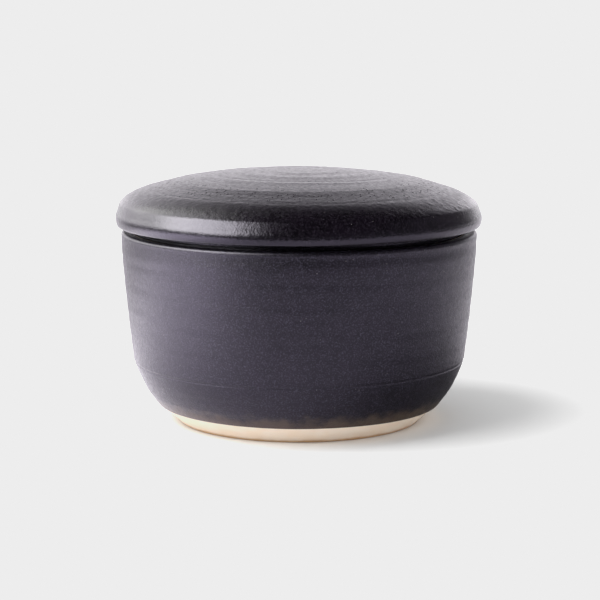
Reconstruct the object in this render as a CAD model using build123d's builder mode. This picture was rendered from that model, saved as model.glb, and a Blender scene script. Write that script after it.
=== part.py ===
from build123d import *

import os

# Stoneware sugar bowl with a lift-off lid, in millimetres. The origin is the centre of the foot's resting
# plane, and +Z is the axis that both pieces were thrown on. Every piece is a solid of revolution, so each has
# one section, drawn as (radius, height) and turned about Z. The clay is drawn first. Glaze is a thin coat
# laid outside the clay's section wherever the clay isn't left bare.

glaze_thickness = 0.35

# Bowl, outside. The potter trimmed a straight bevel above the glaze line, and a rounded belly from the bevel
# up to a soft ridge, where the nearly upright wall begins. The wall bows out very slightly on its way up.
foot_radius = 36.5
foot_inner_radius = 31.2
foot_recess_radius = 30.0
foot_recess_depth = 2.2
foot_recess_round = 1.0
foot_flare_radius = 48.0
glaze_line_radius = 42.5
glaze_line_height = 5.4
bevel_radius = 45.6
bevel_height = 9.6
belly_curve_radius = 45.0
ridge_radius = 49.7
ridge_height = 18.6
ridge_round = 8.0
wall_curve_radius = 700.0
rim_radius = 53.3
rim_height = 56.8
rim_outer_round = 1.0

# Bowl, inside
mouth_radius = 48.0
mouth_round = 0.7
inner_floor_radius = 42.4
inner_floor_height = 7.6
inner_floor_round = 16.0
inner_glaze_top = 55.4

# Lid, outside. The dome falls away more steeply in a band round its edge. A rounded bevel follows, and then a
# nearly upright edge that turns in at the lip.
dome_height = 75.4
dome_band_radius = 37.0
dome_band_height = 72.3
dome_edge_radius = 46.0
dome_edge_height = 69.75
dome_edge_round = 3.0
lid_bevel_curve_radius = 20.0
lid_bevel_radius = 53.1
lid_bevel_height = 65.6
lid_bevel_round = 3.0
lid_radius = 55.05
lid_widest_height = 61.7
lid_widest_round = 3.0
lip_radius = 54.3
lip_height = 59.4
lip_round = 0.5

# Lid, underneath. The lip is undercut down to the seat, which lies flat on the bowl's rim.
undercut_radius = 49.5
undercut_height = 60.2
undercut_round = 0.8
seat_radius = 49.3
seat_glaze_height = 56.9
flange_radius = 46.6
flange_tip_radius = 46.2
flange_tip_height = 52.2
flange_tip_round = 1.2
flange_inner_radius = 42.8
flange_glaze_height = 54.4
hollow_radius = 42.4
hollow_edge_height = 64.0
hollow_edge_round = 5.0
hollow_height = 69.3

# The top of the rim is bare from the mouth out to just beyond the lid's seat.
seat_clearance = 0.6
bare_rim_radius = seat_radius + seat_clearance

# A glaze window is a closed outline whose inner edge keeps well inside the clay, and whose outer edge passes
# well clear of the coat.
window_depth = 2.5
window_margin = 1.0


def round_corner(section, corner, radius):
    """Round the corner of a section that lies at (radius, height)."""
    fillet(section.vertices().sort_by_distance(corner)[0], radius)


def glaze_coat(section, window):
    """Return the sketch of the glaze that lies on a section of clay and within a window's corners."""
    with BuildSketch(Plane.XZ) as coat:
        add(section.sketch_local)
        offset(amount=glaze_thickness)
        add(section.sketch_local, mode=Mode.SUBTRACT)
        with BuildLine():
            Polyline(*window, close=True)
        make_face(mode=Mode.INTERSECT)
    return coat.sketch


os.makedirs("parts", exist_ok=True)

# ---- Bowl ----
# Recess under the base, foot ring, flare up to the glaze line, bevel, wall, rim, and down the inside.
with BuildSketch(Plane.XZ) as bowl_section:
    with BuildLine():
        Polyline(
            (0, inner_floor_height),
            (0, foot_recess_depth),
            (foot_recess_radius, foot_recess_depth),
            (foot_inner_radius, 0),
            (foot_radius, 0),
        )
        RadiusArc((foot_radius, 0), (glaze_line_radius, glaze_line_height), foot_flare_radius)
        Line((glaze_line_radius, glaze_line_height), (bevel_radius, bevel_height))
        RadiusArc((bevel_radius, bevel_height), (ridge_radius, ridge_height), -belly_curve_radius)
        RadiusArc((ridge_radius, ridge_height), (rim_radius, rim_height), -wall_curve_radius)
        Polyline(
            (rim_radius, rim_height),
            (mouth_radius, rim_height),
            (inner_floor_radius, inner_floor_height),
            (0, inner_floor_height),
        )
    make_face()
    round_corner(bowl_section, (foot_recess_radius, foot_recess_depth), foot_recess_round)
    round_corner(bowl_section, (ridge_radius, ridge_height), ridge_round)
    round_corner(bowl_section, (rim_radius, rim_height), rim_outer_round)
    round_corner(bowl_section, (mouth_radius, rim_height), mouth_round)
    round_corner(bowl_section, (inner_floor_radius, inner_floor_height), inner_floor_round)

# The inner edge of both coats' windows runs up inside the wall.
wall_middle = [
    (foot_radius + window_depth, inner_floor_height - window_depth),
    (ridge_radius - window_depth, ridge_height),
    (bare_rim_radius - window_margin, rim_height - window_depth),
]

with BuildPart() as bowl_body:
    add(bowl_section.sketch)
    revolve(axis=Axis.Z)

bowl_outer_glaze_coat = glaze_coat(
    bowl_section,
    [
        (foot_radius + window_depth, glaze_line_height),
        *wall_middle[1:],
        (bare_rim_radius, rim_height - window_depth),
        (bare_rim_radius, rim_height + window_margin),
        (rim_radius + window_margin, rim_height + window_margin),
        (rim_radius + window_margin, glaze_line_height),
    ],
)
with BuildPart() as bowl_outer_glaze:
    add(bowl_outer_glaze_coat)
    revolve(axis=Axis.Z)

bowl_inner_glaze_coat = glaze_coat(
    bowl_section,
    [
        (0, inner_floor_height - window_depth),
        *wall_middle,
        (bare_rim_radius - window_margin, inner_glaze_top),
        (0, inner_glaze_top),
    ],
)
with BuildPart() as bowl_inner_glaze:
    add(bowl_inner_glaze_coat)
    revolve(axis=Axis.Z)

# ---- Lid ----
# Dome, bevel, edge, lip, undercut, seat, flange, and the hollow that follows the dome.
with BuildSketch(Plane.XZ) as lid_section:
    with BuildLine():
        TangentArc((0, dome_height), (dome_band_radius, dome_band_height), tangent=(1, 0))
        Line((dome_band_radius, dome_band_height), (dome_edge_radius, dome_edge_height))
        RadiusArc(
            (dome_edge_radius, dome_edge_height),
            (lid_bevel_radius, lid_bevel_height),
            lid_bevel_curve_radius,
        )
        Polyline(
            (lid_bevel_radius, lid_bevel_height),
            (lid_radius, lid_widest_height),
            (lip_radius, lip_height),
            (undercut_radius, undercut_height),
            (seat_radius, rim_height),
            (flange_radius, rim_height),
            (flange_tip_radius, flange_tip_height),
            (flange_inner_radius, flange_tip_height),
            (hollow_radius, hollow_edge_height),
        )
        TangentArc((0, hollow_height), (hollow_radius, hollow_edge_height), tangent=(1, 0))
        Line((0, hollow_height), (0, dome_height))
    make_face()
    round_corner(lid_section, (dome_edge_radius, dome_edge_height), dome_edge_round)
    round_corner(lid_section, (lid_bevel_radius, lid_bevel_height), lid_bevel_round)
    round_corner(lid_section, (lid_radius, lid_widest_height), lid_widest_round)
    round_corner(lid_section, (lip_radius, lip_height), lip_round)
    round_corner(lid_section, (undercut_radius, undercut_height), undercut_round)
    round_corner(lid_section, (flange_tip_radius, flange_tip_height), flange_tip_round)
    round_corner(lid_section, (flange_inner_radius, flange_tip_height), flange_tip_round)
    round_corner(lid_section, (hollow_radius, hollow_edge_height), hollow_edge_round)

# The inner edge of both coats' windows runs through the middle of the dome and down into the flange.
flange_middle_radius = (flange_inner_radius + flange_radius) / 2
dome_middle = [
    (0, (dome_height + hollow_height) / 2),
    (flange_middle_radius, hollow_edge_height + window_depth),
]

with BuildPart() as lid_body:
    add(lid_section.sketch)
    revolve(axis=Axis.Z)

lid_outer_glaze_coat = glaze_coat(
    lid_section,
    [
        *dome_middle,
        (flange_middle_radius, seat_glaze_height),
        (lid_radius + window_margin, seat_glaze_height),
        (lid_radius + window_margin, dome_height + window_margin),
        (0, dome_height + window_margin),
    ],
)
with BuildPart() as lid_outer_glaze:
    add(lid_outer_glaze_coat)
    revolve(axis=Axis.Z)

lid_inner_glaze_coat = glaze_coat(
    lid_section,
    [
        *dome_middle,
        (flange_middle_radius, flange_glaze_height),
        (0, flange_glaze_height),
    ],
)
with BuildPart() as lid_inner_glaze:
    add(lid_inner_glaze_coat)
    revolve(axis=Axis.Z)

bowl_body.part.label = "bowl_body"
export_step(bowl_body.part, "parts/bowl_body.step")
bowl_outer_glaze.part.label = "bowl_outer_glaze"
export_step(bowl_outer_glaze.part, "parts/bowl_outer_glaze.step")
bowl_inner_glaze.part.label = "bowl_inner_glaze"
export_step(bowl_inner_glaze.part, "parts/bowl_inner_glaze.step")
lid_body.part.label = "lid_body"
export_step(lid_body.part, "parts/lid_body.step")
lid_outer_glaze.part.label = "lid_outer_glaze"
export_step(lid_outer_glaze.part, "parts/lid_outer_glaze.step")
lid_inner_glaze.part.label = "lid_inner_glaze"
export_step(lid_inner_glaze.part, "parts/lid_inner_glaze.step")
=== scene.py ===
import math
import random

import bpy
import numpy as np
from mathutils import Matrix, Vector, noise


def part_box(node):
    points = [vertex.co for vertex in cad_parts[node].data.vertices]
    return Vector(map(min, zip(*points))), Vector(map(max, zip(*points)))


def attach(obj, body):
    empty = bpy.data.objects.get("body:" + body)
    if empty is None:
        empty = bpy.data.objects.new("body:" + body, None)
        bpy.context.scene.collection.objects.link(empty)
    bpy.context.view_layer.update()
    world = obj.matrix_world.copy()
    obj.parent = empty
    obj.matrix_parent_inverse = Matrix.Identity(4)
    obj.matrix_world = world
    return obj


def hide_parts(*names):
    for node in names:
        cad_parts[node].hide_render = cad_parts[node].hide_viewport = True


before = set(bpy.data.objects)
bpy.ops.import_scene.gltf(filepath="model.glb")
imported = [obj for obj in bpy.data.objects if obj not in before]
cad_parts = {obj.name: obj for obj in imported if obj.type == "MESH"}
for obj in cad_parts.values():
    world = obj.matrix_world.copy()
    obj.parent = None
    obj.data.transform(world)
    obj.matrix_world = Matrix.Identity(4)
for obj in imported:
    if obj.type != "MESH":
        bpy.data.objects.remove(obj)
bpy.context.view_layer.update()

# A wheel-thrown stoneware sugar bowl and its lift-off lid. Each piece is a solid of revolution, with the
# marks of throwing, trimming and glazing worked into its mesh. Sections are in millimetres, as (radius,
# height), and become metres when they are turned. The angle called turn starts at +X and goes towards +Y.
MM = 0.001
FULL_TURN = 2 * math.pi
FRONT = -math.pi / 2
ON_AXIS = 1e-6


def high(node):
    """The highest corner of a CAD node, in millimetres."""
    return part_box(node)[1] / MM


def low(node):
    """The lowest corner of a CAD node, in millimetres."""
    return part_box(node)[0] / MM


# ---- Sizes ----
rim_height = high("bowl_body").z
glaze_thickness = high("bowl_outer_glaze").z - rim_height
glaze_line_height = low("bowl_outer_glaze").z
inner_glaze_top = high("bowl_inner_glaze").z
inner_floor_height = low("bowl_inner_glaze").z
dome_height = high("lid_body").z
flange_tip_height = low("lid_body").z
seat_glaze_height = low("lid_outer_glaze").z
flange_glaze_height = low("lid_inner_glaze").z
hollow_height = high("lid_inner_glaze").z

foot_radius = 36.5
foot_inner_radius = 31.2
foot_recess_radius = 30.0
foot_recess_depth = 2.2
foot_flare_radius = 48.0
glaze_line_radius = 42.5
bevel_radius, bevel_height = 45.6, 9.6
belly_curve_radius = 45.0
ridge_radius, ridge_height = 49.7, 18.6
wall_curve_radius = 700.0
rim_radius = 53.3
bare_rim_radius = 49.9
mouth_radius = 48.0
inner_floor_radius = 42.4

dome_band_radius, dome_band_height = 37.0, 72.3
dome_edge_radius, dome_edge_height = 46.0, 69.75
lid_bevel_curve_radius = 20.0
lid_bevel_radius, lid_bevel_height = 53.1, 65.6
lid_radius, lid_widest_height = 55.05, 61.7
lip_radius, lip_height = 54.3, 59.4
undercut_radius, undercut_height = 49.5, 60.2
seat_radius = 49.3
flange_radius = 46.6
flange_tip_radius = 46.2
flange_inner_radius = 42.8
hollow_radius, hollow_edge_height = 42.4, 64.0
hollow_arc_radius = 36.0

foot_recess_round = 1.0
rim_outer_round = 1.0
mouth_round = 0.7
inner_floor_round = 16.0
flange_tip_round = 1.2
hollow_edge_round = 5.0
undercut_round = 0.8
lip_round = 0.5
lid_widest_round = 3.0
lid_bevel_round = 1.5


# ---- Sections ----
def arc_between(start, end, radius, steps=24):
    """Corners along an arc from start to end, without its two ends.

    It bulges to the right of the way, or to the left if the radius is below 0."""
    a, b = np.array(start), np.array(end)
    chord = b - a
    right = np.array((chord[1], -chord[0])) / np.linalg.norm(chord)
    reach = math.sqrt(radius**2 - np.dot(chord, chord) / 4)
    centre = (a + b) / 2 - right * math.copysign(reach, radius)
    first, last = (math.atan2(*(point - centre)[::-1]) for point in (a, b))
    sweep = (last - first + math.pi) % FULL_TURN - math.pi
    angles = [first + sweep * i / steps for i in range(1, steps)]
    return [(*(centre + abs(radius) * np.array((math.cos(t), math.sin(t)))), 0) for t in angles]


def dome_arc(top, edge, until, steps=40):
    """Corners of an arc that is level at the axis and heads for the edge. It stops at the radius until."""
    rise = top - edge[1]
    curve = (edge[0] ** 2 + rise**2) / (2 * rise)
    radii = [until * i / steps for i in range(steps + 1)]
    return [(r, top - curve + math.sqrt(curve**2 - r**2), 0) for r in radii]


def rounded(corners, arc_steps=12):
    """Points of an outline. A corner is (radius, height, round), and a round of 0 leaves it sharp."""
    points = []
    for i, (r, z, corner_round) in enumerate(corners):
        here = np.array((r, z))
        if corner_round == 0:
            points.append(here)
            continue
        back = np.array(corners[i - 1][:2]) - here
        on = np.array(corners[i + 1][:2]) - here
        back /= np.linalg.norm(back)
        on /= np.linalg.norm(on)
        half = math.acos(np.dot(back, on)) / 2
        middle = (back + on) / np.linalg.norm(back + on)
        centre = here + middle * corner_round / math.sin(half)
        tangent = corner_round / math.tan(half)
        first, last = (math.atan2(*(here + way * tangent - centre)[::-1]) for way in (back, on))
        sweep = (last - first + math.pi) % FULL_TURN - math.pi
        for step in range(arc_steps + 1):
            t = first + sweep * step / arc_steps
            points.append(centre + corner_round * np.array((math.cos(t), math.sin(t))))
    return np.array(points)


OUTLINE_SAMPLES = 8000


def respaced(points, spacing, fine=()):
    """The outline with its points spacing apart. fine lists (point, reach, spacing) where they are closer."""
    lengths = np.linalg.norm(np.diff(points, axis=0), axis=1)
    along = np.concatenate(([0], np.cumsum(lengths)))
    s = np.linspace(0, along[-1], OUTLINE_SAMPLES)
    dense = np.column_stack([np.interp(s, along, points[:, k]) for k in (0, 1)])
    density = np.full(len(s), 1 / spacing)
    for point, reach, close in fine:
        density[np.linalg.norm(dense - point, axis=1) < reach] = 1 / close
    count = np.concatenate(([0], np.cumsum((density[1:] + density[:-1]) / 2 * np.diff(s))))
    wanted = np.linspace(0, count[-1], max(2, round(count[-1])) + 1)
    s = np.interp(wanted, count, s)
    return np.column_stack([np.interp(s, along, points[:, k]) for k in (0, 1)])


def outward(points):
    """Unit normals of an outline whose solid lies to the left of the way along it."""
    way = np.gradient(points, axis=0)
    way /= np.linalg.norm(way, axis=1)[:, None]
    normals = np.column_stack((way[:, 1], -way[:, 0]))
    normals[points[:, 0] < ON_AXIS, 0] = 0
    return normals


# ---- Shapes of marks ----
def ease(x, start, end):
    """0 before start, 1 after end, and a smooth step between them."""
    t = np.clip((x - start) / (end - start), 0, 1)
    return t * t * (3 - 2 * t)


def ridge(x, centre, width, height=1.0):
    """A smooth ridge at centre, or a groove if the height is below 0."""
    return height * np.exp(-(((x - centre) / width) ** 2))


def wobble(turn, waves, height, start=0.0):
    """That many waves in one turn round the axis."""
    return height * np.sin(waves * turn + start)


def spiral(across, turn, pitch, threads, height):
    """Ripples a pitch apart, wound round the axis like a screw. Threads below 0 wind the other way."""
    return height * np.sin(FULL_TURN * (across / pitch + threads * turn / FULL_TURN))


def roughness_of(x, y, z, seed):
    """Smooth noise, from about -1 to 1, at each point of three grids."""
    flat = zip((x + seed).ravel(), (y - seed).ravel(), (z + 2 * seed).ravel())
    return np.array([noise.noise(point) for point in flat]).reshape(x.shape)


def lumps(r, z, turn, size, height, seed):
    """Round lumps of that size on a surface."""
    return height * roughness_of(r * np.cos(turn) / size, r * np.sin(turn) / size, z / size, seed)


def streaks(across, turn, count, width, height, seed, slant=0.0):
    """Streaks that run round the axis, count of them in a turn and width wide. slant makes them diagonal."""
    reach = count / FULL_TURN
    slid = turn + slant * across
    return height * roughness_of(reach * np.cos(slid), reach * np.sin(slid), across / width, seed)


# ---- Turning a section into a mesh ----
# A pit's rings as (reach, drop): how far out in the quad, and how far down in parts of the pit's depth.
PIT_RINGS = ((0.44, -0.12), (0.31, 0.3), (0.18, 0.85))
PIT_SIDES = 8
PIT_START = -3 * math.pi / 4


def pit(corners, depth):
    """Points and faces of a small round pit in place of a quad.

    A face's numbers below 4 are the quad's corners."""
    up = np.cross(corners[2] - corners[0], corners[3] - corners[1])
    up /= np.linalg.norm(up)

    def at(u, v, drop):
        near = corners[0] * (1 - u) + corners[1] * u
        far = corners[3] * (1 - u) + corners[2] * u
        return near * (1 - v) + far * v - up * depth * drop

    points = []
    for reach, drop in PIT_RINGS:
        for side in range(PIT_SIDES):
            angle = FULL_TURN * side / PIT_SIDES + PIT_START
            points.append(at(0.5 + reach * math.cos(angle), 0.5 + reach * math.sin(angle), drop))
    points.append(at(0.5, 0.5, 1))
    faces = []
    for corner in range(4):
        here, side = 4 + 2 * corner, 5 + 2 * corner
        before = 4 + (2 * corner - 1) % PIT_SIDES
        faces += [(corner, here, before), (corner, side, here), (corner, (corner + 1) % 4, side)]
    for ring in range(len(PIT_RINGS) - 1):
        base = 4 + ring * PIT_SIDES
        for side in range(PIT_SIDES):
            after = (side + 1) % PIT_SIDES
            faces.append((base + side, base + after, base + PIT_SIDES + after, base + PIT_SIDES + side))
    base = 4 + (len(PIT_RINGS) - 1) * PIT_SIDES
    bottom = base + PIT_SIDES
    faces += [(base + side, base + (side + 1) % PIT_SIDES, bottom) for side in range(PIT_SIDES)]
    return points, faces


def turned(name, r, z, turn, pits):
    """A closed mesh from grids of radii and heights: rows go along the outline, and columns round the axis.

    Rows that start or end on the axis meet there in a point. Otherwise the last row joins the first.
    pits gives the depth of a pit at (row, column)."""
    rows, columns = r.shape
    grid = np.stack((r * np.cos(turn), r * np.sin(turn), z), axis=-1) * MM
    on_axis = r[0].max() < ON_AXIS
    first, last = (1, rows - 1) if on_axis else (0, rows)
    points = list(grid[first:last].reshape(-1, 3))

    def at(row, column):
        return (row - first) % (last - first) * columns + column % columns

    faces = []
    for row in range(first, last - 1 if on_axis else last):
        for column in range(columns):
            quad = (at(row, column), at(row, column + 1), at(row + 1, column + 1), at(row + 1, column))
            if (row, column) in pits:
                new_points, new_faces = pit([points[v] for v in quad], pits[row, column] * MM)
                numbers = [*quad, *range(len(points), len(points) + len(new_points))]
                points += new_points
                faces += [tuple(numbers[i] for i in face) for face in new_faces]
            else:
                faces.append(quad)
    if on_axis:
        bottom, top = len(points), len(points) + 1
        points += [grid[0].mean(axis=0), grid[-1].mean(axis=0)]
        faces += [(bottom, at(first, c + 1), at(first, c)) for c in range(columns)]
        faces += [(at(last - 1, c), at(last - 1, c + 1), top) for c in range(columns)]
    mesh = bpy.data.meshes.new(name)
    mesh.from_pydata([tuple(p) for p in points], [], faces)
    mesh.shade_smooth()
    piece = bpy.data.objects.new(name, mesh)
    bpy.context.collection.objects.link(piece)
    return piece


def grids(outline, columns):
    """The radius, height and turn of each point when an outline is turned in that many columns."""
    turn = np.tile(np.arange(columns) * FULL_TURN / columns, (len(outline), 1))
    r = np.repeat(outline[:, :1], columns, axis=1)
    z = np.repeat(outline[:, 1:], columns, axis=1)
    return r, z, turn


def lifted(r, z, normals, height):
    """The surface raised along its normals."""
    height = np.where(r < ON_AXIS, height.mean(axis=1, keepdims=True), height)
    return r + normals[:, :1] * height, z + normals[:, 1:] * height


def clay_solid(name, outline, columns, relief, shape):
    """Turn a section of clay. relief gives the height of the surface's marks, and shape bends the whole."""
    r, z, turn = grids(outline, columns)
    r, z = lifted(r, z, outward(outline), relief(r, z, turn))
    r, z = shape(r, z, turn)
    return turned(name, r, z, turn, {})


COAT_SINK = 0.12
UNDERSIDE_SPACING = 2.5


def glaze_coat(name, outline, columns, relief, shape, pits=()):
    """Turn a coat of glaze over an outline of clay. Its free ends are round, and its underside is in clay.

    pits lists (radius, height, turn, depth)."""
    normals = outward(outline)
    steps = np.linalg.norm(np.diff(outline, axis=0), axis=1)
    along = np.concatenate(([0], np.cumsum(steps)))
    cover = np.ones(len(outline))
    for distance, end in ((along, outline[0]), (along[-1] - along, outline[-1])):
        if end[0] > ON_AXIS:
            into = np.clip(distance / glaze_thickness, 0, 1)
            cover = np.minimum(cover, np.sqrt(1 - (1 - into) ** 2))
    r, z, turn = grids(outline, columns)
    height = (glaze_thickness + relief(r, z, turn)) * cover[:, None]
    r, z = lifted(r, z, normals, height)

    under = respaced(outline - normals * COAT_SINK, UNDERSIDE_SPACING)
    under_r, under_z, under_turn = (g[::-1] for g in grids(under, columns))
    upper, lower = (r, z, turn), (under_r, under_z, under_turn)
    ends_on_axis = outline[-1, 0] < ON_AXIS
    first_row = len(under) if ends_on_axis else 0
    sides = (lower, upper) if ends_on_axis else (upper, lower)
    r, z, turn = (np.vstack(pair) for pair in zip(*sides))
    r, z = shape(r, z, turn)
    placed = {}
    for pit_radius, pit_height, pit_turn, depth in pits:
        row = int(np.argmin(np.hypot(outline[:, 0] - pit_radius, outline[:, 1] - pit_height)))
        column = int(pit_turn / FULL_TURN * columns) % columns
        placed[first_row + row, column] = depth
    return turned(name, r, z, turn, placed)


# ---- Bowl ----
COLUMNS = 576
INSIDE_COLUMNS = 384

foot_section = [
    (0, foot_recess_depth, 0),
    (foot_recess_radius, foot_recess_depth, foot_recess_round),
    (foot_inner_radius, 0, 0),
    (foot_radius, 0, 0),
    *arc_between((foot_radius, 0), (glaze_line_radius, glaze_line_height), -foot_flare_radius),
]
outer_wall_section = [
    (glaze_line_radius, glaze_line_height, 0),
    (bevel_radius, bevel_height, 0),
    *arc_between((bevel_radius, bevel_height), (ridge_radius, ridge_height), belly_curve_radius),
    (ridge_radius, ridge_height, 0),
    *arc_between((ridge_radius, ridge_height), (rim_radius, rim_height), wall_curve_radius),
    (rim_radius, rim_height, rim_outer_round),
    (bare_rim_radius, rim_height, 0),
]
rim_section = [(mouth_radius, rim_height, mouth_round)]
mouth_lean = (mouth_radius - inner_floor_radius) / (rim_height - inner_floor_height)
inner_glaze_radius = mouth_radius - (rim_height - inner_glaze_top) * mouth_lean
inner_wall_section = [
    (inner_glaze_radius, inner_glaze_top, 0),
    (inner_floor_radius, inner_floor_height, inner_floor_round),
    (0, inner_floor_height, 0),
]

# How far marks are set below the CAD's surface, so that none of them rises past it.
CLAY_INSET = 0.02
INSIDE_INSET = 0.08
LID_EDGE_INSET = 0.12

# Where the bowl departs from its section. It's round up to one height and fully out of round from another.
# Its rim's outer shoulder stands high, less so on the right.
ROUND_UP_TO, OVAL_FROM = 8, 40
SHOULDER_START, SHOULDER_END, SHOULDER_DEPTH = bare_rim_radius + 0.8, bare_rim_radius + 2.4, 6
SHOULDER_RISE, SHOULDER_TILT = 0.34, 0.12
NEAR_AXIS = 1


def bowl_shape(r, z, turn):
    """The bowl is a little out of round, and the outside of its rim stands a little high."""
    oval = wobble(turn, waves=2, height=0.06, start=0.6) + wobble(turn, waves=3, height=0.04, start=2.0)
    shoulder = ease(r, SHOULDER_START, SHOULDER_END) * ease(z, rim_height - SHOULDER_DEPTH, rim_height)
    rise = SHOULDER_RISE - SHOULDER_TILT * np.cos(turn)
    return r + oval * ease(z, ROUND_UP_TO, OVAL_FROM) * (r > NEAR_AXIS), z + shoulder * rise


# The wall is drawn in to a shallow neck under the rim, and below the ridge's groove it steps in.
STEP_BELOW_GROOVE = 0.06
NECK_DEPTH = 0.16
neck_start, neck_end = rim_height - 5, rim_height - 1.5
neck_release, neck_top = rim_height - 1.2, rim_height - 0.3


def outer_wall_relief(r, z, turn):
    """Throwing ripples, the groove along the ridge, trimmed facets below it, and a neck under the rim."""
    ripples = spiral(z, turn, pitch=6.1, threads=1, height=0.022)
    ripples += spiral(z, turn, pitch=3.4, threads=2, height=0.014)
    rings = streaks(z, turn, count=7, width=0.8, height=0.010, seed=3.1)
    rings += streaks(z, turn, count=4, width=2.6, height=0.02, seed=8.4)
    on_wall = ease(z, ridge_height + 1, ridge_height + 8)
    wall = on_wall * ripples + rings + lumps(r, z, turn, size=14.0, height=0.03, seed=2.2)

    groove_height = ridge_height + wobble(turn, waves=1, height=0.25, start=1.0)
    groove = ridge(z, groove_height, width=0.34, height=-0.24)
    step = -STEP_BELOW_GROOVE * ease(groove_height - z, start=0, end=0.8)
    on_belly = 1 - ease(z, ridge_height - 1, ridge_height)
    facets = on_belly * streaks(z, turn, count=9, width=1.6, height=0.06, seed=5.7)
    bevel_edge = ridge(z, bevel_height + wobble(turn, waves=2, height=0.3), width=0.35, height=-0.06)
    belly = groove + step + facets + bevel_edge

    neck = -NECK_DEPTH * ease(z, neck_start, neck_end) * (1 - ease(z, neck_release, neck_top))
    return wall + belly + neck + lumps(r, z, turn, size=0.9, height=0.012, seed=6.3)


# The glaze's lower edge is lower on the right, and its wandering fades out this far above it.
GLAZE_LINE_TILT = 0.08
WANDER_REACH = 2.5


def glaze_line_shape(r, z, turn):
    """The bowl's shape, with the glaze's lower edge wandering up and down."""
    wander = streaks(np.zeros_like(turn), turn, count=11, width=1.0, height=0.10, seed=4.0)
    wander -= GLAZE_LINE_TILT * (1 + np.cos(turn))
    near = 1 - ease(z, glaze_line_height, glaze_line_height + WANDER_REACH)
    slope = (bevel_radius - glaze_line_radius) / (bevel_height - glaze_line_height)
    return bowl_shape(r + wander * near * slope, z + wander * near, turn)


def clay_relief(r, z, turn):
    """Trimming lines on the foot, and the fine tooth of bare clay."""
    lines = streaks(z + r, turn, count=5, width=0.45, height=0.012, seed=7.7)
    return lines + lumps(r, z, turn, size=0.7, height=0.012, seed=1.3) - CLAY_INSET


def inner_wall_relief(r, z, turn):
    """The spiral left by the potter's fingers, from the middle of the floor up the wall."""
    along = r + np.maximum(z - inner_floor_height, 0)
    fingers = spiral(along, turn, pitch=7.5, threads=-1, height=0.05) * ease(along, start=1, end=8)
    rings = streaks(along, turn, count=6, width=2.0, height=0.03, seed=9.9)
    return fingers + rings + lumps(r, z, turn, size=1.0, height=0.01, seed=3.7) - INSIDE_INSET


# How far apart an outline's points are.
CLAY_SPACING = 1.2
BARE_CLAY_SPACING = 0.35
WALL_SPACING = 0.6
INSIDE_SPACING = 0.9
DOME_SPACING = 0.62
FREE_END = (0.6, 0.08)
bare_foot = (39, 2.5)

bowl_clay_outline = respaced(
    rounded(
        [
            *foot_section,
            (glaze_line_radius, glaze_line_height, 0),
            *outer_wall_section[1:-1],
            *rim_section,
            *inner_wall_section[1:],
        ]
    ),
    CLAY_SPACING,
    [(bare_foot, 5.0, BARE_CLAY_SPACING), ((mouth_radius, rim_height), 3.0, BARE_CLAY_SPACING)],
)
bowl_clay = clay_solid("bowl_clay", bowl_clay_outline, INSIDE_COLUMNS, clay_relief, bowl_shape)
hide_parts("bowl_body")

outer_wall_outline = respaced(
    rounded(outer_wall_section),
    WALL_SPACING,
    [
        ((glaze_line_radius, glaze_line_height), *FREE_END),
        ((ridge_radius, ridge_height), 1.2, 0.2),
        ((rim_radius, rim_height), 1.8, 0.2),
        ((bare_rim_radius, rim_height), 0.5, 0.08),
    ],
)
bowl_glaze_outside = glaze_coat(
    "bowl_glaze_outside", outer_wall_outline, COLUMNS, outer_wall_relief, glaze_line_shape
)
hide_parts("bowl_outer_glaze")

inner_wall_outline = respaced(
    rounded(inner_wall_section), INSIDE_SPACING, [((inner_glaze_radius, inner_glaze_top), *FREE_END)]
)
bowl_glaze_inside = glaze_coat(
    "bowl_glaze_inside", inner_wall_outline, INSIDE_COLUMNS, inner_wall_relief, bowl_shape
)
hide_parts("bowl_inner_glaze")

# ---- Lid ----
lid_hollow_section = [
    *dome_arc(hollow_height, (hollow_radius, hollow_edge_height), hollow_arc_radius),
    (hollow_radius, hollow_edge_height, hollow_edge_round),
]
flange_lean = (flange_inner_radius - hollow_radius) / (hollow_edge_height - flange_tip_height)
flange_glaze_radius = flange_inner_radius - (flange_glaze_height - flange_tip_height) * flange_lean
flange_section = [
    (flange_inner_radius, flange_tip_height, flange_tip_round),
    (flange_tip_radius, flange_tip_height, flange_tip_round),
    (flange_radius, rim_height, 0),
    (seat_radius, rim_height, 0),
]
undercut_lean = (undercut_radius - seat_radius) / (undercut_height - rim_height)
seat_glaze_radius = seat_radius + (seat_glaze_height - rim_height) * undercut_lean
lid_top_section = [
    (seat_glaze_radius, seat_glaze_height, 0),
    (undercut_radius, undercut_height, undercut_round),
    (lip_radius, lip_height, lip_round),
    (lid_radius, lid_widest_height, lid_widest_round),
    (lid_bevel_radius, lid_bevel_height, lid_bevel_round),
    *arc_between(
        (lid_bevel_radius, lid_bevel_height), (dome_edge_radius, dome_edge_height), lid_bevel_curve_radius
    ),
    (dome_edge_radius, dome_edge_height, 0),
    *dome_arc(dome_height, (dome_band_radius, dome_band_height), dome_band_radius)[::-1],
]


# The lid sits a little to the left. Its top is bent from one height up, and only its sides bulge.
LID_OFF_CENTRE = 0.08
UPPER_LID_START, UPPER_LID_END = 63.5, 66
SIDES_START = 0.2


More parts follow.
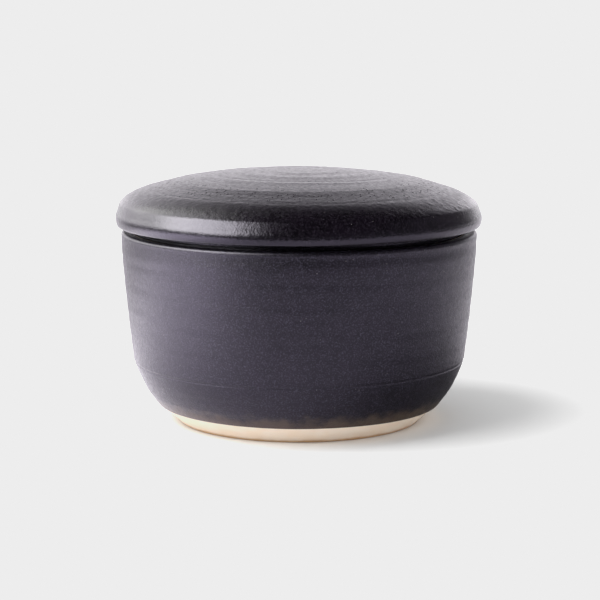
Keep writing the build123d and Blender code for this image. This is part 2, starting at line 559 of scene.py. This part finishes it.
def lid_shape(r, z, turn):
    """The lid isn't quite true: its middle is low, its shoulder lower on one side, and both sides bulge."""
    side = np.cos(turn)
    middle = ridge(r, centre=0, width=12, height=-0.20)
    dome = ridge(r, centre=30, width=11, height=0.02 - 0.12 * side)
    shoulder = ridge(r, centre=46.5, width=5.5, height=0.05 - 0.25 * side)
    outer_shoulder = ridge(r, centre=51.5, width=3.0, height=side * (0.35 * side - 0.22))
    rise = (middle + dome + shoulder + outer_shoulder) * ease(z, UPPER_LID_START, UPPER_LID_END)
    bulge = ridge(z, lid_bevel_height, width=2.2, height=0.36 - 0.08 * side)
    bulge *= ease(r, start=50, end=52) * ease(np.abs(side), start=SIDES_START, end=1)
    return r - LID_OFF_CENTRE * side * (r > NEAR_AXIS) + bulge, z + rise


# A ring on the dome is cut deeper than the others, and wanders. The chatter is strongest on one side.
DOME_EDGE_BLEND = 1.2
SPIRAL_START = 1.5
CUT_RADIUS, CUT_WANDER, CUT_TURN, CUT_LIP = 25.0, 3.0, math.radians(20), 2.2
margin_start, margin_end, margin_groove = 35.5, 38, 45.6
CHATTER_TURN, FAINTEST_CHATTER = math.radians(-30), 0.25
bevel_start, bevel_end = lid_bevel_height - 1.5, lid_bevel_height + 1.0


def lid_top_relief(r, z, turn):
    """The dome's spiral of throwing rings, its rough margin, the chattered bevel and the ringed edge."""
    on_dome = 1 - ease(r, dome_edge_radius, dome_edge_radius + DOME_EDGE_BLEND)
    on_dome *= ease(z, lid_bevel_height, lid_bevel_height + 0.4)
    fingers = spiral(r - SPIRAL_START, turn, pitch=8.4, threads=-1, height=0.075)
    fingers *= ease(r, start=2, end=9) * (1 - ease(r, start=20, end=30))
    cut_radius = CUT_RADIUS + CUT_WANDER * ease(np.cos(turn - CUT_TURN), start=-0.3, end=1)
    cut = ridge(r, cut_radius, width=0.9, height=-0.135)
    cut += ridge(r, cut_radius + CUT_LIP, width=1.6, height=0.075)
    rings = streaks(r, turn, count=5, width=1.3, height=0.039, seed=2.9) * ease(r, start=2, end=6)
    tooth = streaks(r, turn, count=110, width=0.9, height=0.05, seed=6.1)
    tooth += lumps(r, z, turn, size=0.8, height=0.03, seed=4.4)
    tooth *= ease(r, margin_start, margin_end)
    dome = on_dome * (fingers + cut + rings + tooth + ridge(r, margin_groove, width=0.5, height=-0.05))

    on_bevel = ease(z, bevel_start, bevel_end) * (1 - on_dome)
    chatter = streaks(z, turn, count=230, width=0.7, height=0.07, seed=3.3, slant=0.03)
    strongest = ease(np.cos(turn - CHATTER_TURN), start=0.3, end=1)
    chatter *= FAINTEST_CHATTER + (1 - FAINTEST_CHATTER) * strongest
    rough = streaks(z, turn, count=12, width=0.9, height=0.03, seed=1.7)
    rough += lumps(r, z, turn, size=1.1, height=0.04, seed=7.1)
    bevel = on_bevel * (chatter + rough)

    on_edge = (1 - on_dome) * (1 - on_bevel) * ease(z, lip_height, lip_height + 2.0)
    edge = streaks(z, turn, count=6, width=0.9, height=0.03, seed=7.4)
    edge += lumps(r, z, turn, size=1.0, height=0.02, seed=9.3)
    grain = lumps(r, z, turn, size=0.8, height=0.014, seed=5.5)
    return dome + bevel + on_edge * edge + grain - LID_EDGE_INSET * ease(z, lip_height - 0.5, lip_height + 2)


def hollow_relief(r, z, turn):
    """The rings of trimming inside the lid."""
    rings = spiral(r, turn, pitch=5.2, threads=1, height=0.04) * ease(r, start=1, end=6)
    return rings + streaks(r + z, turn, count=6, width=1.4, height=0.02, seed=1.9) - INSIDE_INSET


# Most pits lie in the dome's rough margin, and the back has the fewest.
PIT_COUNT, PIT_SEED = 260, 5
PITS_IN_MARGIN = 0.8
MARGIN_MIDDLE, MARGIN_SPREAD = 40.5, 3.4
INNERMOST_PIT, OUTERMOST_PIT = 12, 46
FEWEST_PITS = 0.2
SHALLOWEST_PIT, DEEPEST_PIT = 0.1, 0.27


def dome_pits():
    """Pinholes scattered on the dome, most of them in its rough margin and towards the front."""
    draw = random.Random(PIT_SEED)
    curve_drop = (dome_height - dome_edge_height) / dome_edge_radius**2
    pits = []
    while len(pits) < PIT_COUNT:
        turn = draw.uniform(0, FULL_TURN)
        towards_front = 0.5 + 0.5 * math.cos(turn - FRONT)
        if draw.random() < PITS_IN_MARGIN:
            r = draw.gauss(MARGIN_MIDDLE, MARGIN_SPREAD)
        else:
            r = draw.uniform(INNERMOST_PIT, OUTERMOST_PIT)
        if r < OUTERMOST_PIT and draw.random() < FEWEST_PITS + (1 - FEWEST_PITS) * towards_front**2:
            pits.append((r, dome_height - curve_drop * r**2, turn, draw.uniform(SHALLOWEST_PIT, DEEPEST_PIT)))
    return pits


bare_flange = (45, 53)
lid_clay_outline = respaced(
    rounded([*lid_hollow_section, *flange_section, *lid_top_section[1:]]),
    CLAY_SPACING,
    [(bare_flange, 5.0, 0.4), ((undercut_radius, undercut_height), 2.0, 0.4)],
)
lid_clay = clay_solid("lid_clay", lid_clay_outline, INSIDE_COLUMNS, clay_relief, lid_shape)
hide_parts("lid_body")

lid_top_outline = respaced(
    rounded(lid_top_section),
    DOME_SPACING,
    [
        ((seat_glaze_radius, seat_glaze_height), 0.5, 0.1),
        ((lip_radius, lip_height), 1.0, 0.2),
        ((lid_bevel_radius, lid_bevel_height), 2.0, 0.3),
        ((dome_edge_radius, dome_edge_height), 1.5, 0.3),
    ],
)
lid_glaze_outside = glaze_coat(
    "lid_glaze_outside", lid_top_outline, COLUMNS, lid_top_relief, lid_shape, dome_pits()
)
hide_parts("lid_outer_glaze")

lid_hollow_outline = respaced(
    rounded([*lid_hollow_section, (flange_glaze_radius, flange_glaze_height, 0)]),
    INSIDE_SPACING,
    [((flange_glaze_radius, flange_glaze_height), *FREE_END)],
)
lid_glaze_inside = glaze_coat(
    "lid_glaze_inside", lid_hollow_outline, INSIDE_COLUMNS, hollow_relief, lid_shape
)
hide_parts("lid_inner_glaze")

for piece in (bowl_clay, bowl_glaze_outside, bowl_glaze_inside):
    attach(piece, "bowl")
for piece in (lid_clay, lid_glaze_outside, lid_glaze_inside):
    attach(piece, "lid")


# ---- Materials ----
# Colours are linear, as (red, green, blue, alpha).
GLAZE_DARKEST, GLAZE_DARK = (0.0010, 0.0005, 0.0012, 1), (0.0030, 0.0016, 0.0036, 1)
BOWL_CRYSTALS, LID_CRYSTALS = (0.029, 0.026, 0.039, 1), (0.014, 0.011, 0.016, 1)
THIN_GLAZE = (0.068, 0.048, 0.033, 1)
SPECK = (0.16, 0.15, 0.15, 1)
SHEEN = (0.84, 0.785, 1.0, 1)
CREAM, PALE_CREAM = (0.98, 0.81, 0.65, 1), (0.99, 0.86, 0.73, 1)
# The third colour here is painted shade: black for the lid's bare seat, which sits in the shadowed gap under
# its lip.
GROG, TOAST, GAP_SHADE = (0.62, 0.46, 0.31, 1), (0.66, 0.40, 0.20, 1), (0.012, 0.009, 0.009, 1)

GLAZE_IOR = 1.49
SPECK_CELL = 0.5
EDGE_WANDER = 8.0
THIN_START, THIN_END = glaze_line_height + 0.2, glaze_line_height - 3.6
TOAST_WANDER = 0.8
TOAST_START, TOAST_END = 1.6, 0.4
# Heights where the painted shade on the lid's seat begins and where it is full.
GAP_SHADE_START, GAP_SHADE_END = rim_height + 0.05, rim_height + 0.2
CLAY_SPECULAR = 0.3
CLAY_TOOTH = 0.03


def new_node(tree, kind, **settings):
    """A shader node. A setting is a node property, or with in_ before it an input's value or its link."""
    made = tree.nodes.new("ShaderNode" + kind)
    for name, value in settings.items():
        if not name.startswith("in_"):
            setattr(made, name, value)
            continue
        key = name[3:]
        socket = made.inputs[int(key) if key.isdigit() else key.replace("_", " ")]
        if isinstance(value, bpy.types.NodeSocket):
            tree.links.new(value, socket)
        else:
            socket.default_value = value
    return made


def noise_of(tree, place, size, detail=2.0, roughness=0.5):
    """Noise whose features are about size millimetres across."""
    return new_node(
        tree, "TexNoise", in_Vector=place, in_Scale=1 / (size * MM), in_Detail=detail, in_Roughness=roughness
    ).outputs["Fac"]


def between(tree, value, start, end, low_value=0.0, high_value=1.0):
    """Maps value from the range start to end onto the range low_value to high_value, smoothly."""
    return new_node(
        tree,
        "MapRange",
        interpolation_type="SMOOTHSTEP",
        in_0=value,
        in_1=start,
        in_2=end,
        in_3=low_value,
        in_4=high_value,
    ).outputs[0]


def maths(tree, operation, a, b):
    """What a Math node makes of two values."""
    return new_node(tree, "Math", operation=operation, in_0=a, in_1=b).outputs[0]


def mixed(tree, factor, a, b):
    """Colour a where factor is 0, and b where it is 1."""
    made = new_node(tree, "Mix", data_type="RGBA")
    for socket, value in ((made.inputs[0], factor), (made.inputs[6], a), (made.inputs[7], b)):
        if isinstance(value, bpy.types.NodeSocket):
            tree.links.new(value, socket)
        else:
            socket.default_value = value
    return made.outputs[2]


def surface_bump(tree, height, depth, normal=None):
    """A bump that is depth millimetres from its lowest to its highest."""
    made = new_node(tree, "Bump", in_Strength=1.0, in_Distance=depth * MM, in_Height=height)
    if normal is not None:
        tree.links.new(normal, made.inputs["Normal"])
    return made.outputs["Normal"]


def new_material(name):
    """An empty node material, its shader and the place of each point in its piece."""
    material = bpy.data.materials.new(name)
    material.use_nodes = True
    tree = material.node_tree
    shader = tree.nodes["Principled BSDF"]
    place = new_node(tree, "TexCoord").outputs["Object"]
    return material, tree, shader, place


def satin_glaze(name, crystals, tooth_size, tooth_depth, pebble_size, pebble_depth, edge_gloss):
    """Near-black satin glaze with fine crystals of that colour, pale specks, and brown where it's thin.

    Tooth and pebbles are its fine and coarse bumps. edge_gloss scales its roughness below the dome."""
    material, tree, shader, place = new_material(name)
    height = new_node(tree, "SeparateXYZ", in_Vector=place).outputs["Z"]
    grain = noise_of(tree, place, size=tooth_size, detail=2.0, roughness=0.6)
    mottle = noise_of(tree, place, size=6.0, detail=4.0, roughness=0.6)
    cells = new_node(tree, "TexVoronoi", in_Vector=place, in_Scale=1 / (SPECK_CELL * MM))
    chance = new_node(tree, "SeparateColor", in_Color=cells.outputs["Color"]).outputs[0]
    dot = between(tree, cells.outputs["Distance"], start=0.3, end=0.15)
    speck = maths(tree, "MULTIPLY", dot, between(tree, chance, start=0.993, end=0.998))

    dark = mixed(tree, between(tree, mottle, start=0.35, end=0.65), GLAZE_DARKEST, GLAZE_DARK)
    body = mixed(tree, between(tree, grain, start=0.45, end=0.75), dark, crystals)
    wander = noise_of(tree, place, size=5.0, detail=4.0, roughness=0.65)
    edge_height = maths(tree, "SUBTRACT", height, maths(tree, "MULTIPLY", wander, EDGE_WANDER * MM))
    thin = between(tree, edge_height, start=THIN_START * MM, end=THIN_END * MM)
    browned = mixed(tree, thin, body, THIN_GLAZE)
    tree.links.new(mixed(tree, speck, browned, SPECK), shader.inputs["Base Color"])

    cloud = noise_of(tree, place, size=1.2, detail=3.0, roughness=0.6)
    rough = between(tree, cloud, start=0.3, end=0.7, low_value=0.30, high_value=0.42)
    gloss = between(tree, height, lid_bevel_height * MM, dome_edge_height * MM, edge_gloss, 1.0)
    tree.links.new(maths(tree, "MULTIPLY", rough, gloss), shader.inputs["Roughness"])
    shader.inputs["IOR"].default_value = GLAZE_IOR
    shader.inputs["Specular Tint"].default_value = SHEEN
    fine = surface_bump(tree, grain, tooth_depth)
    coarse = surface_bump(tree, noise_of(tree, place, pebble_size), pebble_depth, fine)
    tree.links.new(coarse, shader.inputs["Normal"])
    return material


def bare_stoneware(name):
    """Cream stoneware, fine-grained and toasted at the foot's edge, with painted shade: black from just above
    the rim's height, where the lid's bare seat sits in the shadowed gap.
    """
    material, tree, shader, place = new_material(name)
    height = new_node(tree, "SeparateXYZ", in_Vector=place).outputs["Z"]
    cloud = noise_of(tree, place, size=7.0, detail=3.0, roughness=0.6)
    grain = noise_of(tree, place, size=0.35, detail=3.0, roughness=0.7)
    cream = mixed(tree, between(tree, cloud, start=0.3, end=0.7), CREAM, PALE_CREAM)
    speckled = mixed(tree, between(tree, grain, start=0.68, end=0.78), cream, GROG)
    rise = maths(tree, "ADD", height, maths(tree, "MULTIPLY", cloud, TOAST_WANDER * MM))
    toasted = mixed(tree, between(tree, rise, start=TOAST_START * MM, end=TOAST_END * MM), speckled, TOAST)
    # Painted shade: clay from just above the rim's height up goes black, for the lid's bare seat in the
    # shadowed gap.
    gap_shade = between(tree, height, start=GAP_SHADE_START * MM, end=GAP_SHADE_END * MM)
    tree.links.new(mixed(tree, gap_shade, toasted, GAP_SHADE), shader.inputs["Base Color"])
    rough = between(tree, grain, start=0.3, end=0.7, low_value=0.8, high_value=0.95)
    tree.links.new(rough, shader.inputs["Roughness"])
    shader.inputs["Specular IOR Level"].default_value = CLAY_SPECULAR
    tree.links.new(surface_bump(tree, grain, CLAY_TOOTH), shader.inputs["Normal"])
    return material


bowl_glaze = satin_glaze(
    "bowl_glaze",
    BOWL_CRYSTALS,
    tooth_size=0.45,
    tooth_depth=0.060,
    pebble_size=2.2,
    pebble_depth=0.030,
    edge_gloss=1.0,
)
lid_glaze = satin_glaze(
    "lid_glaze",
    LID_CRYSTALS,
    tooth_size=0.58,
    tooth_depth=0.065,
    pebble_size=1.3,
    pebble_depth=0.060,
    edge_gloss=0.62,
)
clay_material = bare_stoneware("bare_stoneware")
for piece, glaze in (
    (bowl_glaze_outside, bowl_glaze),
    (bowl_glaze_inside, bowl_glaze),
    (lid_glaze_outside, lid_glaze),
    (lid_glaze_inside, lid_glaze),
):
    piece.data.materials.append(glaze)
for piece in (bowl_clay, lid_clay):
    piece.data.materials.append(clay_material)


# ---- Floor ----
# BRIGHTEST is the level of the floor and the backdrop in the picture.
BRIGHTEST = 0.847
FLOOR_REACH = 60.0
FLOOR_ALBEDO = 0.8


def matt_material(name, albedo):
    """A grey that doesn't shine."""
    material = bpy.data.materials.new(name)
    material.use_nodes = True
    shader = material.node_tree.nodes["Principled BSDF"]
    shader.inputs["Base Color"].default_value = (albedo, albedo, albedo, 1)
    shader.inputs["Roughness"].default_value = 1.0
    shader.inputs["Specular IOR Level"].default_value = 0.0
    return material


def rectangle(name, low_x, high_x, low_y, high_y, lift):
    """A level rectangle at that height, which is scenery and not a piece of the object."""
    corners = [(low_x, low_y), (high_x, low_y), (high_x, high_y), (low_x, high_y)]
    mesh = bpy.data.meshes.new(name)
    mesh.from_pydata([(x, y, lift) for x, y in corners], [], [tuple(range(len(corners)))])
    piece = bpy.data.objects.new(name, mesh)
    bpy.context.collection.objects.link(piece)
    return piece


def only_in_reflections(piece):
    """Hide it from the camera, from matt surfaces and from shadows."""
    piece.visible_camera = False
    piece.visible_diffuse = False
    piece.visible_shadow = False


floor = rectangle("floor", -FLOOR_REACH, FLOOR_REACH, -FLOOR_REACH, FLOOR_REACH, 0)
floor.data.materials.append(matt_material("pale_floor", FLOOR_ALBEDO))


# ---- Light ----
def towards(turn_degrees, height_degrees):
    """The unit vector that points from the object to a light."""
    t, h = math.radians(turn_degrees), math.radians(height_degrees)
    return Vector((math.cos(t) * math.cos(h), math.sin(t) * math.cos(h), math.sin(h)))


def lamp(name, way, spread, energy):
    """A distant lamp as wide as spread degrees. It lights matt surfaces, and glossy ones don't mirror it."""
    data = bpy.data.lights.new(name, "SUN")
    data.energy = energy
    data.angle = math.radians(spread)
    made = bpy.data.objects.new(name, data)
    bpy.context.collection.objects.link(made)
    made.rotation_mode = "QUATERNION"
    made.rotation_quaternion = way.to_track_quat("Z", "Y")
    made.visible_glossy = False


lamp("key", towards(turn_degrees=197, height_degrees=50), spread=50, energy=2.85)
lamp("fill", towards(turn_degrees=0, height_degrees=90), spread=170, energy=2.9)

# What the glaze mirrors: a pale wall behind that fades to the right, a low window and a smaller glow on the
# left, and a dark room in front and above. The camera sees a plain grey in its place.
BACK_WALL, RIGHT_WALL, DARK_ROOM = 2.0, 0.16, 0.02
BACK_WALL_FADE = 1.2
WINDOW_WAY, WINDOW_LEVEL = towards(turn_degrees=203, height_degrees=24), 13.5
GLOW_WAY, GLOW_LEVEL = towards(turn_degrees=160, height_degrees=35), 3.8
GLOW_INNER, GLOW_OUTER = 12, 38
BACKDROP = (BRIGHTEST, BRIGHTEST, BRIGHTEST, 1)
ROOM_COLOUR, DAYLIGHT_COLOUR = (1.0, 0.965, 1.01, 1), (0.98, 1.0, 0.89, 1)
world = bpy.data.worlds.new("studio")
world.use_nodes = True
world.cycles_visibility.diffuse = False
bpy.context.scene.world = world
sky = world.node_tree
way_out = new_node(sky, "TexCoord").outputs["Generated"]
rightward, away, upward = new_node(sky, "SeparateXYZ", in_Vector=way_out).outputs


def glow(sky_way, level):
    """A round glow around a direction, full up to its inner angle and gone at its outer one."""
    dot = new_node(sky, "VectorMath", operation="DOT_PRODUCT", in_0=way_out, in_1=sky_way).outputs["Value"]
    outer, inner = math.cos(math.radians(GLOW_OUTER)), math.cos(math.radians(GLOW_INNER))
    return between(sky, dot, start=outer, end=inner, low_value=0.0, high_value=level)


fade = maths(sky, "MULTIPLY", maths(sky, "MAXIMUM", rightward, 0.0), BACK_WALL_FADE)
straight_back = maths(sky, "SUBTRACT", away, fade)
back_level = between(sky, straight_back, start=-0.3, end=0.6, low_value=0.0, high_value=BACK_WALL)
back_wall = maths(sky, "MULTIPLY", back_level, between(sky, upward, start=0.85, end=0.25))
right_level = between(sky, rightward, start=0.0, end=0.8, low_value=0.0, high_value=RIGHT_WALL)
right_wall = maths(sky, "MULTIPLY", right_level, between(sky, upward, start=0.8, end=0.4))
room_level = maths(sky, "ADD", maths(sky, "ADD", back_wall, right_wall), DARK_ROOM)
above_sill = between(sky, upward, start=0.03, end=0.20)
low_window = maths(sky, "MULTIPLY", glow(WINDOW_WAY, WINDOW_LEVEL), above_sill)
window_level = maths(sky, "ADD", low_window, glow(GLOW_WAY, GLOW_LEVEL))
camera_ray = new_node(sky, "LightPath").outputs["Is Camera Ray"]
plain = new_node(sky, "Background", in_Color=BACKDROP, in_Strength=1.0)
room = new_node(sky, "Background", in_Color=ROOM_COLOUR, in_Strength=room_level)
daylight = new_node(sky, "Background", in_Color=DAYLIGHT_COLOUR, in_Strength=window_level)
mirrored = new_node(sky, "AddShader", in_0=room.outputs[0], in_1=daylight.outputs[0])
chosen = new_node(sky, "MixShader", in_0=camera_ray, in_1=mirrored.outputs[0], in_2=plain.outputs[0])
sky.links.new(chosen.outputs[0], sky.nodes["World Output"].inputs["Surface"])

# The floor towards the window is brighter than the picture can show. Only reflections see this extra light,
# which lies on the floor and lets the floor itself through, dimmed in the shadow to the bowl's right.
SPILL_REACH, SPILL_LIFT, SPILL_LEVEL = 1.5, 0.0004, 3.9
SPILL_COLOUR = (1.0, 0.95, 1.03, 1)
NEXT_TO_BOWL = 0.50
SHADOW_PLACE = (0.07, -0.02, 0)
SHADOW_COLOUR, OPEN_COLOUR = (0.25, 0.24, 0.255, 1), (1.0, 0.955, 1.02, 1)
WINDOW_X, WINDOW_Y = 0.9, 0.6


def window_spill():
    """Light that is brightest towards the window and dimmer next to the bowl. Its places are in metres."""
    material = bpy.data.materials.new("window_spill")
    material.use_nodes = True
    tree = material.node_tree
    tree.nodes.remove(tree.nodes["Principled BSDF"])
    place = new_node(tree, "TexCoord").outputs["Object"]
    x, y, _ = new_node(tree, "SeparateXYZ", in_Vector=place).outputs
    leftward = maths(tree, "MULTIPLY", x, WINDOW_X)
    to_window = maths(tree, "SUBTRACT", maths(tree, "MULTIPLY", y, WINDOW_Y), leftward)
    near_window = between(tree, to_window, start=-0.05, end=0.13, low_value=0.0, high_value=SPILL_LEVEL)
    from_bowl = new_node(tree, "VectorMath", operation="LENGTH", in_0=place).outputs["Value"]
    clear_of_bowl = between(tree, from_bowl, start=0.09, end=0.22, low_value=NEXT_TO_BOWL, high_value=1.0)
    in_front = between(tree, y, start=0.17, end=0.0)
    level = maths(tree, "MULTIPLY", near_window, maths(tree, "MULTIPLY", clear_of_bowl, in_front))
    light = new_node(tree, "Emission", in_Color=SPILL_COLOUR, in_Strength=level)
    far = new_node(tree, "VectorMath", operation="DISTANCE", in_0=place, in_1=SHADOW_PLACE).outputs["Value"]
    in_the_open = between(tree, far, start=0.03, end=0.10)
    clear = new_node(tree, "BsdfTransparent", in_Color=mixed(tree, in_the_open, SHADOW_COLOUR, OPEN_COLOUR))
    both = new_node(tree, "AddShader", in_0=light.outputs[0], in_1=clear.outputs[0])
    tree.links.new(both.outputs[0], tree.nodes["Material Output"].inputs["Surface"])
    return material


spill = rectangle("spill", -SPILL_REACH, SPILL_REACH, -SPILL_REACH, SPILL_REACH, SPILL_LIFT)
spill.data.materials.append(window_spill())
only_in_reflections(spill)

# Black cloths on the floor in front and further out on both sides, which stand for the dark room. Their
# reaches are (low x, high x, low y, high y) in metres.
CLOTH_LIFT = 0.0008
CLOTHS = {
    "cloth_front": (-1.5, 1.5, -1.5, -0.22),
    "cloth_left": (-1.5, -0.46, -0.22, 0.6),
    "cloth_right": (0.38, 1.5, -0.22, 0.6),
}
black_cloth = matt_material("black_cloth", albedo=0.0)
for name, reaches in CLOTHS.items():
    cloth = rectangle(name, *reaches, CLOTH_LIFT)
    cloth.data.materials.append(black_cloth)
    only_in_reflections(cloth)

# ---- Camera ----
CAMERA_DISTANCE = 0.600
CAMERA_HEIGHT = 0.1306
CAMERA_SIDE = 0.0003
CAMERA_PITCH = 8.98
FOCAL_LENGTH = 120.1
SENSOR_WIDTH = 36.0
FARTHEST_SEEN = 200.0
camera_data = bpy.data.cameras.new("camera")
camera_data.lens = FOCAL_LENGTH
camera_data.sensor_width = SENSOR_WIDTH
camera_data.clip_end = FARTHEST_SEEN
camera = bpy.data.objects.new("camera", camera_data)
camera.location = (CAMERA_SIDE, -CAMERA_DISTANCE, CAMERA_HEIGHT)
camera.rotation_euler = (math.radians(90 - CAMERA_PITCH), 0, 0)
bpy.context.collection.objects.link(camera)
bpy.context.scene.camera = camera

# The floor is lit beyond what the picture holds. All that's above BRIGHTEST comes out the same pale grey.
ALL_CHANNELS = 3
view = bpy.context.scene.view_settings
view.view_transform = "Standard"
view.use_curve_mapping = True
tone = view.curve_mapping.curves[ALL_CHANNELS]
tone.points[1].location = (1.0, BRIGHTEST)
tone.points.new(BRIGHTEST, BRIGHTEST)
for point in tone.points:
    point.handle_type = "VECTOR"
view.curve_mapping.extend = "HORIZONTAL"
view.curve_mapping.update()
